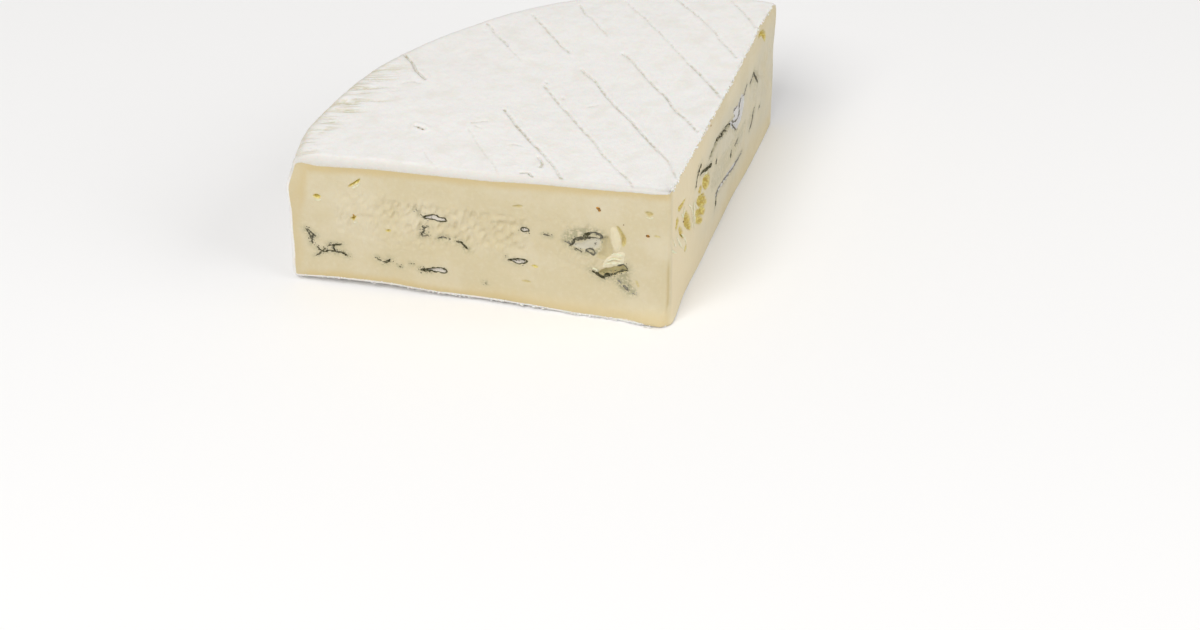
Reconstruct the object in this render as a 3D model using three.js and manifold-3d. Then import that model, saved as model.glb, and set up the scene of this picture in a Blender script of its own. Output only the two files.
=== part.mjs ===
// A wedge of soft blue cheese with a white mould rind: one solid, a sector of a low round cake.
// Millimetres, +Z up. The base lies on z = 0, the tip points to -Y and the rind wall to +Y.
import * as THREE from "three";
import { mergeVertices } from "three/addons/utils/BufferGeometryUtils.js";
import Module from "manifold-3d";

// Driving sizes of the sector.
const RADIUS = 120.6;
const HEIGHT = 49.6;
const RIM_DROP = 1.6;
const HALF_ANGLE = THREE.MathUtils.degToRad(48.15);
const TIP_ROUNDING = 1.4;

// Profile of the rind wall: it bulges in the middle and draws in at the base and the top.
const TOP_EDGE_ROUNDING = 4.6;
const BASE_EDGE_ROUNDING = 2.2;
const TOP_DRAW_IN = 1;
const BASE_DRAW_IN = 1.8;
const BULGE_HEIGHT = 27;

// How finely the round surfaces and the knife cuts are divided.
const TURN_SEGMENTS = 108;
const FLAT_STATIONS = 10;
const ROUNDING_STEPS = 3;
const WALL_STEPS = 6;
const CUT_COLUMNS = 24;
const CUT_ROWS = 8;

// Unevenness of the soft body.
const RIND_WAVE = 0.3;
const WALL_WAVE = 0.5;
const CUT_WAVE = 0.35;
const FOOT_SPREAD = 0.9;
const MIDDLE_LIFT = 1;
const CORNER_LIFT = 1.2;

// The drying mat left straight grooves, all parallel, one every 15.5 mm across the tip.
const MAT_PITCH = 15.5;
const MAT_FIRST = -39.9;
const MAT_TURN = THREE.MathUtils.degToRad(-4);
const GROOVE_WIDTH = 1.5;
const GROOVE_DEPTH = 0.8;
const GROOVE_STEPS = 5;

// Colour and finish of the paste, which shows on both cuts.
const PASTE_COLOUR = "#e0d1a4";
const PASTE_ROUGHNESS = 0.6;

const wasm = await Module();
wasm.setup();

// Turns a closed three.js geometry into a solid that can be cut and joined.
function solidOf(geometry) {
  geometry.deleteAttribute("normal");
  geometry.deleteAttribute("uv");
  const merged = mergeVertices(geometry, 1e-4);
  return new wasm.Manifold(
    new wasm.Mesh({
      numProp: 3,
      vertProperties: merged.attributes.position.array,
      triVerts: new Uint32Array(merged.index.array),
    }),
  );
}

// Moves every vertex of a geometry to the place that the function gives for it.
function reshape(geometry, place) {
  const position = geometry.attributes.position;
  const point = new THREE.Vector3();
  for (let i = 0; i < position.count; i++) {
    point.fromBufferAttribute(position, i);
    place(point);
    position.setXYZ(i, point.x, point.y, point.z);
  }
  return geometry;
}

// A slow wave between -1 and 1, made of three sines that do not repeat together.
function wave(a, b, seed) {
  const first = Math.sin(0.11 * a + 0.05 * b + seed);
  const second = Math.sin(0.07 * a - 0.13 * b + 2.3 * seed);
  const third = Math.sin(0.23 * a + 0.19 * b + 4.1 * seed);
  return (first + second + 0.5 * third) / 2.5;
}

// A smooth step from 0 at the first edge to 1 at the second.
function ease(first, second, value) {
  return THREE.MathUtils.smoothstep(value, first, second);
}

// Height of the top at a distance from the tip: it sinks slowly towards the rim.
function topHeight(radius) {
  const share = radius / (RADIUS - TOP_DRAW_IN - TOP_EDGE_ROUNDING);
  return HEIGHT - RIM_DROP * share * share;
}

// Half of the wall's outline: from the middle of the base, up the bulged wall, to the middle of the top.
function cakeProfile() {
  const points = [];
  const baseFlat = RADIUS - BASE_DRAW_IN - BASE_EDGE_ROUNDING;
  const topFlat = RADIUS - TOP_DRAW_IN - TOP_EDGE_ROUNDING;
  for (let i = 0; i <= FLAT_STATIONS; i++) {
    points.push(new THREE.Vector2((baseFlat * i) / FLAT_STATIONS, 0));
  }
  for (let i = 1; i <= ROUNDING_STEPS; i++) {
    const turn = (i / ROUNDING_STEPS) * (Math.PI / 2);
    const out = baseFlat + BASE_EDGE_ROUNDING * Math.sin(turn);
    points.push(new THREE.Vector2(out, BASE_EDGE_ROUNDING * (1 - Math.cos(turn))));
  }
  const wallTop = topHeight(topFlat) - TOP_EDGE_ROUNDING;
  for (let i = 1; i < WALL_STEPS; i++) {
    const height = THREE.MathUtils.lerp(BASE_EDGE_ROUNDING, wallTop, i / WALL_STEPS);
    const below = height < BULGE_HEIGHT;
    const reach = below ? BULGE_HEIGHT - BASE_EDGE_ROUNDING : wallTop - BULGE_HEIGHT;
    const drawIn = below ? BASE_DRAW_IN : TOP_DRAW_IN;
    const away = (height - BULGE_HEIGHT) / reach;
    points.push(new THREE.Vector2(RADIUS - drawIn * away * away, height));
  }
  for (let i = 0; i <= ROUNDING_STEPS; i++) {
    const turn = (i / ROUNDING_STEPS) * (Math.PI / 2);
    const out = topFlat + TOP_EDGE_ROUNDING * Math.cos(turn);
    points.push(new THREE.Vector2(out, wallTop + TOP_EDGE_ROUNDING * Math.sin(turn)));
  }
  for (let i = FLAT_STATIONS - 1; i >= 0; i--) {
    const radius = (topFlat * i) / FLAT_STATIONS;
    points.push(new THREE.Vector2(radius, topHeight(radius)));
  }
  return points;
}

// Where a point lies along a cut (distance from the tip) and how far inside the sector it is from it.
function alongCut(point, side) {
  const along = point.x * side * Math.sin(HALF_ANGLE) + point.y * Math.cos(HALF_ANGLE);
  const inside = point.y * Math.sin(HALF_ANGLE) - point.x * side * Math.cos(HALF_ANGLE);
  return { along, inside };
}

// How far the lower edge of the left cut stands off the ground: nothing by the tip, most by the rim.
function edgeLift(point) {
  const { along, inside } = alongCut(point, -1);
  const lift = MIDDLE_LIFT * ease(28, 50, along) + CORNER_LIFT * ease(66, 92, along);
  return lift * (1 - ease(2, 14, inside)) * (1 - 0.4 * ease(106, 120, along));
}

// The whole cake, with its axis at the tip: a soft, slightly uneven body of revolution.
function cake() {
  const geometry = new THREE.LatheGeometry(cakeProfile(), TURN_SEGMENTS);
  geometry.rotateX(Math.PI / 2);
  reshape(geometry, (point) => {
    const radius = Math.hypot(point.x, point.y);
    const level = point.z / HEIGHT;
    const wall = ease(0.9, 1, radius / RADIUS) * level * (1 - level) * 4;
    const swell = 1 + (WALL_WAVE * wall * wave(point.x, point.y + 2 * point.z, 1.7)) / RADIUS;
    point.x *= swell;
    point.y *= swell;
    point.z += RIND_WAVE * level * level * wave(point.x, point.y, 0.6);
    point.z += edgeLift(point) * (1 - level);
  });
  return solidOf(geometry);
}

// What the knife leaves: two upright cuts, each a little wavy, that meet in a rounded tip.
// The box's x runs from the left cut to the right one, its y outwards and its z up.
function knifeSector() {
  const reach = RADIUS + 10;
  const geometry = new THREE.BoxGeometry(2, 1, 1, 4, CUT_COLUMNS, CUT_ROWS);
  reshape(geometry, (point) => {
    const across = point.x;
    const out = (point.y + 0.5) * reach;
    const height = (point.z + 0.5) * (HEIGHT + 4) - 2;
    const nose = TIP_ROUNDING * (1 - ease(0, 6, out)) * (0.6 + 0.4 * across * across);
    const radius = out + nose;
    const foot = FOOT_SPREAD * ease(0, 8, out) * (1 - ease(30, 70, out)) * (1 - ease(0, 12, height));
    const bend = (CUT_WAVE * wave(radius, height * 1.4, across > 0 ? 3.1 : 5.2) + foot) * ease(0, 10, out);
    const angle = across * HALF_ANGLE;
    point.x = radius * Math.sin(angle) + across * bend * Math.cos(HALF_ANGLE);
    point.y = radius * Math.cos(angle) - bend * Math.abs(across) * Math.sin(HALF_ANGLE);
    point.z = height;
  });
  return solidOf(geometry);
}

// One straight groove of the mat, as the bar of triangular section that is cut out of the top.
function matGroove(line, from, to) {
  const outline = new THREE.Shape();
  outline.moveTo(-GROOVE_WIDTH, GROOVE_DEPTH);
  outline.lineTo(0, -GROOVE_DEPTH);
  outline.lineTo(GROOVE_WIDTH, GROOVE_DEPTH);
  const length = to - from;
  const bar = new THREE.ExtrudeGeometry(outline, { depth: length, steps: GROOVE_STEPS, bevelEnabled: false });
  bar.rotateX(Math.PI / 2);
  bar.rotateZ(Math.PI);
  bar.translate(0, from, 0);
  bar.rotateZ(MAT_TURN);
  bar.translate(MAT_FIRST + line * MAT_PITCH, 0, 0);
  reshape(bar, (point) => {
    point.z += topHeight(Math.hypot(point.x, point.y));
  });
  return solidOf(bar);
}

// The grooves that show, each with the place of its two ends along the mat's direction.
const GROOVES = [
  { line: 0, from: 97, to: 111 },
  { line: 1, from: 16, to: 67 },
  { line: 2, from: 4, to: 73 },
  { line: 2, from: 99, to: 115 },
  { line: 3, from: 4, to: 113 },
  { line: 4, from: 16, to: 111 },
  { line: 5, from: 30, to: 106 },
  { line: 6, from: 45, to: 99 },
  { line: 7, from: 60, to: 89 },
];

// Hollows in the left cut: small eyes and the openings that the blue mould grows in.
// Each has its place (distance from the tip, height), its width, its height and its depth.
const LEFT_HOLLOWS = [
  { along: 111.2, up: 33, wide: 3, high: 2.4, deep: 1.5 },
  { along: 98.9, up: 39.8, wide: 4.6, high: 1.4, deep: 1.2 },
  { along: 99.8, up: 26, wide: 2.6, high: 2.2, deep: 1.4 },
  { along: 89, up: 22.3, wide: 2.2, high: 1.8, deep: 1.2 },
  { along: 113.8, up: 17.5, wide: 3.6, high: 5.5, deep: 1.4 },
  { along: 107.5, up: 11.8, wide: 8, high: 3, deep: 1.6 },
  { along: 91, up: 10.4, wide: 4.6, high: 2.4, deep: 1.4 },
  { along: 73.6, up: 29.7, wide: 6.6, high: 2.8, deep: 1.8 },
  { along: 77, up: 24, wide: 2.2, high: 3.8, deep: 1.2 },
  { along: 71, up: 22.3, wide: 4, high: 1.6, deep: 1.2 },
  { along: 65.6, up: 20.9, wide: 4.2, high: 1.8, deep: 1.2 },
  { along: 75, up: 9.6, wide: 8, high: 2.6, deep: 1.6 },
  { along: 45.3, up: 29.3, wide: 3.2, high: 2.6, deep: 1.4 },
  { along: 47.7, up: 16.9, wide: 6, high: 2, deep: 1.4 },
  { along: 47.3, up: 38.3, wide: 2.4, high: 1.6, deep: 1 },
  { along: 27.5, up: 28.9, wide: 7, high: 4.4, deep: 1.8 },
  { along: 24.4, up: 24.9, wide: 4, high: 2.8, deep: 1.4 },
  { along: 20.4, up: 26.4, wide: 5, high: 4.6, deep: 2.2 },
  { along: 15.8, up: 31.4, wide: 4.6, high: 8, deep: 1.6 },
  { along: 18.6, up: 18.3, wide: 11, high: 4.6, deep: 3 },
  { along: 13.2, up: 13.6, wide: 4, high: 6, deep: 1.4 },
];

// Hollows in the right cut: the torn open pocket by the tip and the veins behind it.
const RIGHT_HOLLOWS = [
  { along: 39, up: 28.2, wide: 6, high: 9, deep: 3.4 },
  { along: 34.4, up: 23.4, wide: 8, high: 8, deep: 4.2 },
  { along: 26.5, up: 30.5, wide: 6, high: 8, deep: 3 },
  { along: 19, up: 26.4, wide: 8, high: 7, deep: 4 },
  { along: 12.8, up: 28, wide: 5, high: 6, deep: 3 },
  { along: 9.6, up: 32.8, wide: 4, high: 5, deep: 2.4 },
  { along: 102.6, up: 43, wide: 3, high: 2.2, deep: 1.4 },
  { along: 95.2, up: 33, wide: 3, high: 3.4, deep: 1.4 },
  { along: 78, up: 31.4, wide: 7, high: 5, deep: 1.8 },
  { along: 70, up: 31.2, wide: 7, high: 4.4, deep: 1.8 },
  { along: 59, up: 33.8, wide: 8, high: 3.4, deep: 1.8 },
  { along: 48, up: 35, wide: 7, high: 3, deep: 1.6 },
  { along: 67.3, up: 20, wide: 4, high: 2.6, deep: 1.4 },
  { along: 91, up: 17, wide: 3, high: 2.6, deep: 1.4 },
  { along: 64.5, up: 15, wide: 7, high: 3, deep: 1.4 },
  { along: 54.5, up: 16, wide: 8, high: 3, deep: 1.4 },
];

// Crumbs and torn ridges that stand in the open pockets.
const LEFT_CRUMBS = [
  { along: 17.4, up: 23.4, wide: 6, high: 2.2, deep: 1.4 },
  { along: 13.4, up: 31, wide: 2, high: 8, deep: 1 },
  { along: 19.4, up: 21.6, wide: 4.4, high: 1.6, deep: 1.2 },
];
const RIGHT_CRUMBS = [
  { along: 36.6, up: 28, wide: 2.6, high: 7, deep: 2.2 },
  { along: 29.8, up: 27.4, wide: 2.6, high: 6, deep: 2.4 },
  { along: 23, up: 28.6, wide: 2.4, high: 6, deep: 2.2 },
  { along: 15.6, up: 27.6, wide: 2.4, high: 5, deep: 2 },
];

// An uneven blob on a cut: a ball stretched to the given width, height and depth (out of the face),
// with its middle on the face and its surface pushed in and out by a wave.
function blob(side, index, { along, up, wide, high, deep }, faces) {
  const geometry = new THREE.IcosahedronGeometry(1, faces);
  const seed = index * 1.9 + (side > 0 ? 7 : 0);
  reshape(geometry, (point) => {
    point.multiplyScalar(1 + 0.14 * wave(point.x * 25, point.y * 25 + point.z * 19, seed));
    point.multiply(new THREE.Vector3(wide / 2, deep, high / 2));
  });
  geometry.rotateZ(Math.PI / 2 - side * HALF_ANGLE);
  const x = side * along * Math.sin(HALF_ANGLE);
  geometry.translate(x, along * Math.cos(HALF_ANGLE), up);
  return solidOf(geometry);
}

// All the blobs of one list, as separate solids.
function blobs(side, list, faces) {
  return list.map((entry, index) => blob(side, index, entry, faces));
}

// The cheese: the cake, cut to a sector, grooved on top and hollowed where the cuts opened it.
function cheeseSolid() {
  let cheese = cake().intersect(knifeSector());
  const hollows = [...blobs(-1, LEFT_HOLLOWS, 1), ...blobs(1, RIGHT_HOLLOWS, 1)];
  const grooves = GROOVES.map(({ line, from, to }) => matGroove(line, from, to));
  for (const gap of [...grooves, ...hollows]) {
    cheese = cheese.subtract(gap);
  }
  for (const crumb of [...blobs(-1, LEFT_CRUMBS, 1), ...blobs(1, RIGHT_CRUMBS, 1)]) {
    cheese = cheese.add(crumb);
  }
  return cheese;
}

// The cheese as a three.js geometry, moved from the tip's frame to the middle of its own base.
function cheeseGeometry() {
  const { vertProperties, triVerts } = cheeseSolid().getMesh();
  const geometry = new THREE.BufferGeometry();
  geometry.setAttribute("position", new THREE.BufferAttribute(vertProperties, 3));
  geometry.setIndex(new THREE.BufferAttribute(triVerts, 1));
  geometry.computeBoundingBox();
  const middle = geometry.boundingBox.getCenter(new THREE.Vector3());
  geometry.translate(-middle.x, -middle.y, -geometry.boundingBox.min.z);
  geometry.computeVertexNormals();
  return geometry;
}

const paste = new THREE.MeshStandardMaterial({
  color: PASTE_COLOUR,
  roughness: PASTE_ROUGHNESS,
  metalness: 0,
});
const cheese = new THREE.Mesh(cheeseGeometry(), paste);
cheese.name = "cheese_wedge";

const wedge = new THREE.Group();
wedge.add(cheese);

export default wedge;
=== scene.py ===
import bpy
import numpy as np
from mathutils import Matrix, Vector


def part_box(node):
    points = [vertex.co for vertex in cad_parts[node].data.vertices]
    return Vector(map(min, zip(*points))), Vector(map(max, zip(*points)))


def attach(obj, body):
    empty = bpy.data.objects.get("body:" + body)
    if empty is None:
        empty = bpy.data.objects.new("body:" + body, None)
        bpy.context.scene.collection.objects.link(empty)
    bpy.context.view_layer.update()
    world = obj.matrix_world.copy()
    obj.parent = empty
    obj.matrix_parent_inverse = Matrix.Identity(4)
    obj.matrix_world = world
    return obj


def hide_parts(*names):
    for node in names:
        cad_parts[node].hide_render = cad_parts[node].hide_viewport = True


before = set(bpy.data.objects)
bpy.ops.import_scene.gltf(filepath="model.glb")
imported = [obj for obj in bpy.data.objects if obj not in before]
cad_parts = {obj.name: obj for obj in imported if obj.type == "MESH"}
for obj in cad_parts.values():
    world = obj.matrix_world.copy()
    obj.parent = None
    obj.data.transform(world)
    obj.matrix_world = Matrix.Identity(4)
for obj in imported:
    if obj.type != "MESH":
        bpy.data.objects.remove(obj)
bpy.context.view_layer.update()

# ------------------------------------------------------------------ the paste
# A sector cut with a knife from a low round cake of soft ripened paste.  Its two cuts meet in the
# tip; the blue mould and the gas holes open them, and the rind covers the rest.  It is one closed
# body of level slices, in millimetres, with the tip at x = 0, y = 0.

MM = 0.001
radius = 121.2
height = 49.4
rim_drop = 1.0
half_angle = np.radians(48.15)
tip_cut_back = 0.84
tip_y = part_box("cheese_wedge")[0][1] / MM - tip_cut_back

shoulder_round = 3.8
heel_round = 1.5
top_draw_in = 0.5
base_draw_in = 1.6
bulge_height = 30.0
tip_round = 1.3
tip_wear = 3.6
toe_spread = 1.9
heel_slump = 1.8
left_rim_pull = 0.7
left_corner_pull = 1.8
right_corner_pull = 1.7
right_rim_rise = 1.3

left, right = -1, 1
outward_run = {side: np.array([side * np.sin(half_angle), np.cos(half_angle)]) for side in (left, right)}
inward = {side: np.array([-side * np.cos(half_angle), np.sin(half_angle)]) for side in (left, right)}
wave_seed = {left: 5.2, right: 3.1}


def ease(low, high, value):
    """A smooth step: 0 below low, 1 above high, and 3u^2 - 2u^3 between them."""
    u = np.clip((value - low) / (high - low), 0, 1)
    return u * u * (3 - 2 * u)


def wave(a, b, seed):
    """A slow wave from -1 to 1: three sines in different directions, the third at half strength."""
    first = np.sin(0.11 * a + 0.05 * b + seed)
    second = np.sin(0.07 * a - 0.13 * b + 2.3 * seed)
    third = np.sin(0.23 * a + 0.19 * b + 4.1 * seed)
    return (first + second + 0.5 * third) / 2.5


def grain(a, b, size, seed):
    """Uneven ground from -1 to 1: random heights on a square net, joined by smooth steps."""
    net = np.random.default_rng(seed).uniform(-1, 1, (64, 64))
    i, j = np.floor(a / size).astype(int), np.floor(b / size).astype(int)
    fi, fj = ease(0, 1, a / size - i), ease(0, 1, b / size - j)
    i, j, next_i, next_j = i % 64, j % 64, (i + 1) % 64, (j + 1) % 64
    near = net[i, j] * (1 - fi) + net[next_i, j] * fi
    far = net[i, next_j] * (1 - fi) + net[next_i, next_j] * fi
    return near * (1 - fj) + far * fj


def top_height(reach):
    """Height of the top: it sinks with the square of the distance from the tip."""
    return height - rim_drop * (reach / (radius - top_draw_in - shoulder_round)) ** 2


def wall_radius(up):
    """Reach of the rind wall: a parabola that is widest at the bulge."""
    above = (up - bulge_height) / (top_height(radius) - shoulder_round - bulge_height)
    below = (bulge_height - up) / (bulge_height - heel_round)
    return radius - np.where(up > bulge_height, top_draw_in * above ** 2, base_draw_in * below ** 2)


def soften(a, b, rounding, stand=0.0):
    """Rounds the edge where two faces meet: a and b are a point's depths below the faces, and a
    point beyond the rounding's circle, made wider by stand, is drawn in to it.  Returns the two
    changes of depth."""
    ca, cb = np.clip(rounding - a, 0, None), np.clip(rounding - b, 0, None)
    away = np.hypot(ca, cb)
    pull = np.clip(away - rounding - stand, 0, None) / np.maximum(away, 1e-9)
    return ca * pull, cb * pull


def skin_depth(reach, up):
    """Depth below the round outline: the least of the depths below the top, the wall and the base,
    and in the shoulder and the heel the distance from their circles."""
    below_top, inside = top_height(reach) - up, wall_radius(up) - reach
    depth = np.minimum(np.minimum(below_top, up), inside)
    for corner, level in ((shoulder_round, below_top), (heel_round, up)):
        away = np.hypot(np.clip(corner - level, 0, None), np.clip(corner - inside, 0, None))
        depth = np.where(away > 0, np.minimum(depth, corner - away), depth)
    return depth


def edge_rounding(side, along, rise):
    """Rounding of a cut's edge: rise is -1 at the top, 0 at the wall and 1 at the base.  The left
    cut's top edge rolls over more and more towards the rim, and its lower edge by the tip."""
    at_top = 1.1 + 1.1 * ease(0, 90, along) if side == left else 0.7
    at_base = 1.2 + 1.0 * (1 - ease(2, 16, along)) if side == left else 0.9
    return 1.0 + (at_top - 1.0) * np.clip(-rise, 0, 1) + (at_base - 1.0) * np.clip(rise, 0, 1)


def round_edges(x, y, up, stand=0.0):
    """Rounds the two cuts' edges with the outline, and then the tip where the cuts meet.  A point
    moves along the outline's own slope, which is measured over a short step."""
    step = 0.05
    for side in (left, right):
        reach = np.maximum(np.hypot(x, y), 1e-6)
        skin = skin_depth(reach, up)
        lean = (skin_depth(reach + step, up) - skin) / step
        rise = (skin_depth(reach, up + step) - skin) / step
        rounding = edge_rounding(side, x * outward_run[side][0] + y * outward_run[side][1], rise)
        drawn, dropped = soften(x * inward[side][0] + y * inward[side][1], skin, rounding, stand)
        x, y = (x + inward[side][0] * drawn + x / reach * lean * dropped,
                y + inward[side][1] * drawn + y / reach * lean * dropped)
        up = up + rise * dropped
    rounding = tip_round + tip_wear * (1 - ease(0, 10, up))
    into_left, into_right = soften(x * inward[left][0] + y * inward[left][1],
                                   x * inward[right][0] + y * inward[right][1], rounding, stand)
    x = x + inward[left][0] * into_left + inward[right][0] * into_right
    y = y + inward[left][1] * into_left + inward[right][1] * into_right
    return x, y, up


def cut_bend(side, along, up):
    """How far a cut stands out of a flat plane: a slow wave on both, a foot that spreads by the tip
    on the left one, and a foot that draws in on the right one."""
    low = 1 - ease(0, 14, up)
    if side == left:
        foot = 0.7 * (1 - ease(30, 70, along)) * low + 0.8 * (1 - ease(8, 26, along)) * low
    else:
        foot = -0.2 * ease(4, 24, along) * (1 - ease(60, 110, along)) * low
    return 0.35 * wave(along, up * 1.4, wave_seed[side]) * ease(0, 10, along) + foot


def edge_lift(x, y):
    """How far the lower edge of the left cut stands off the ground: most by the rim."""
    run = x * outward_run[left][0] + y * outward_run[left][1]
    inside = x * inward[left][0] + y * inward[left][1]
    lift = 1.0 * ease(28, 50, run) + 1.2 * ease(66, 92, run)
    return lift * (1 - ease(2, 14, inside)) * (1 - 0.4 * ease(106, 120, run))


def settle(x, y, up):
    """The soft cake's own unevenness, the same for the paste and its rind: the cuts bend, the wall
    and the top wave a little, and the toe spreads under the tip.  By the left cut the heel slumps
    outwards, the rim draws in and the lower edge lifts; by the right one the rim stands higher and
    its corner is rounder."""
    level = up / height
    for side in (left, right):
        along = x * outward_run[side][0] + y * outward_run[side][1]
        inside = x * inward[side][0] + y * inward[side][1]
        out = cut_bend(side, along, up) * (1 - ease(0, 25, inside))
        x, y = x - inward[side][0] * out, y - inward[side][1] * out
    reach, turn = np.hypot(x, y), np.arctan2(x, y)
    by_wall = ease(0.85, 1, reach / radius)
    swell = 1 + 2.0 * ease(0.9, 1, reach / radius) * level * (1 - level) * wave(x, y + 2 * up, 1.7) / radius
    slump = heel_slump * ease(-0.45, -0.8, turn) * (1 - ease(0, 18, up)) * by_wall
    pull = left_rim_pull * ease(-0.35, -0.6, turn) + left_corner_pull * ease(-0.68, -0.84, turn)
    pull = pull * ease(34, 46, up) + right_corner_pull * ease(0.55, 0.82, turn) * ease(43, 48.5, up)
    swell = swell + (slump - pull * by_wall) / np.maximum(reach, 1e-6)
    toe = toe_spread * (1 - ease(0, 8, up)) * (1 - ease(4, 16, reach))
    rise = right_rim_rise * ease(-0.2, 0.55, turn) * ease(0.5, 0.9, reach / radius) * ease(18, 44, up)
    return (x * swell - 0.5 * toe, y * swell + tip_y - 0.87 * toe,
            up + rise + 0.3 * level ** 2 * wave(x, y, 0.6) + edge_lift(x, y) * (1 - level))


def curve(places, closed=False, steps=5):
    """A smooth line through the places: a Catmull-Rom cubic between each two of them."""
    p = np.array(places, float)
    ends = [p[-1:], p, p[:2]] if closed else [2 * p[:1] - p[1:2], p, 2 * p[-1:] - p[-2:-1]]
    p = np.concatenate(ends)[:, None]
    a, b, c, d = p[:-3], p[1:-2], p[2:-1], p[3:]
    t = (np.arange(steps) / steps)[None, :, None]
    square, cube = a - 2.5 * b + 2 * c - d / 2, 1.5 * (b - c) + (d - a) / 2
    line = b + (c - a) * t / 2 + square * t ** 2 + cube * t ** 3
    line = line.reshape(-1, 2)
    return line if closed else np.concatenate([line, c[-1]])


def line_distance(along, up, line, closed=False, far=5.0):
    """Distance from each place to a line of many short stretches: the least of the distances to
    the nearest place on each stretch, and far for the places well away from the whole line.
    Inside a closed line the distance is negative."""
    low, high = line.min(0) - far, line.max(0) + far
    close = (along > low[0]) & (along < high[0]) & (up > low[1]) & (up < high[1])
    result = np.full(along.shape, far)
    along, up = along[close], up[close]
    a = line if closed else line[:-1]
    b = np.roll(line, -1, 0) if closed else line[1:]
    place = np.stack([along, up], -1)[:, None]
    share = ((place - a) * (b - a)).sum(-1) / np.maximum(((b - a) ** 2).sum(-1), 1e-9)
    nearest = a + np.clip(share, 0, 1)[..., None] * (b - a)
    distance = np.hypot(*np.moveaxis(place - nearest, -1, 0)).min(1)
    if closed:
        above = (a[:, 1] > up[:, None]) != (b[:, 1] > up[:, None])
        slant = (b[:, 0] - a[:, 0]) / np.where(b[:, 1] == a[:, 1], 1e-9, b[:, 1] - a[:, 1])
        crossed = above & (along[:, None] < a[:, 0] + slant * (up[:, None] - a[:, 1]))
        distance = np.where(crossed.sum(1) % 2 == 1, -distance, distance)
    result[close] = np.minimum(distance, far)
    return result


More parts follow.
